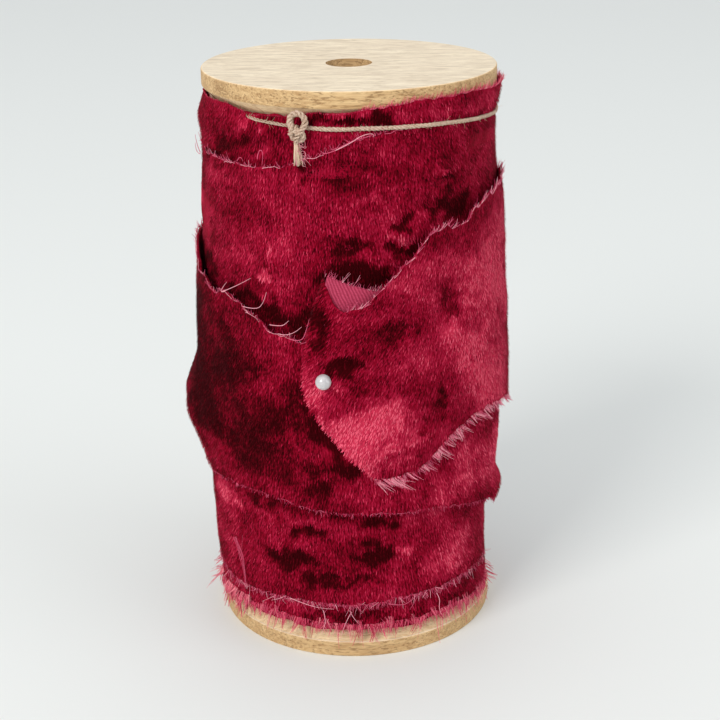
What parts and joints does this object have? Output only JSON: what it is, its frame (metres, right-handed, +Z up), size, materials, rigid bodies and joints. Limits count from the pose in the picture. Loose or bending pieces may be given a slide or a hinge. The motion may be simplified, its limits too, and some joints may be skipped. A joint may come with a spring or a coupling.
{
  "type": "ribbon spool",
  "caption": "Turned wooden spool wound with torn-edge crushed velvet ribbon, tied with knotted twine, its free end folded and held by a pearl-head pin.",
  "frame": {"origin": "centre of the spindle bore at the bottom flange's flat face", "axes": "+Z up along the bore, -Y the front, where the pearl head and the knot show, +X to the right seen from the front"},
  "size_m": [0.0872, 0.0854, 0.153],
  "materials": {
    "wood": "unfinished turned beech",
    "velvet": "crushed velvet with torn edges",
    "twine": "natural hairy twine",
    "pearl": "pearl lacquer",
    "pin_steel": "polished"
  },
  "bodies": {
    "spool": {"bottom_flange": "wood", "core_barrel": "wood", "top_flange": "wood", "ribbon_windings": "velvet", "ribbon_bottom_wrap": "velvet", "ribbon_lower_wrap": "velvet", "ribbon_top_wrap": "velvet", "ribbon_upper_wrap": "velvet", "ribbon_outer_turn": "velvet", "ribbon_tail": "velvet", "twine_loop": "twine", "twine_knot": "twine", "twine_tail": "twine"},
    "pin": {"pin_head": "pearl", "pin_shaft": "pin_steel"}
  },
  "joints": [
    {"name": "pin_slide", "type": "slide", "parent": "spool", "child": "pin", "axis": [-0.8975, -0.4185, -0.1392], "range_m": [0, 0.036]}
  ]
}
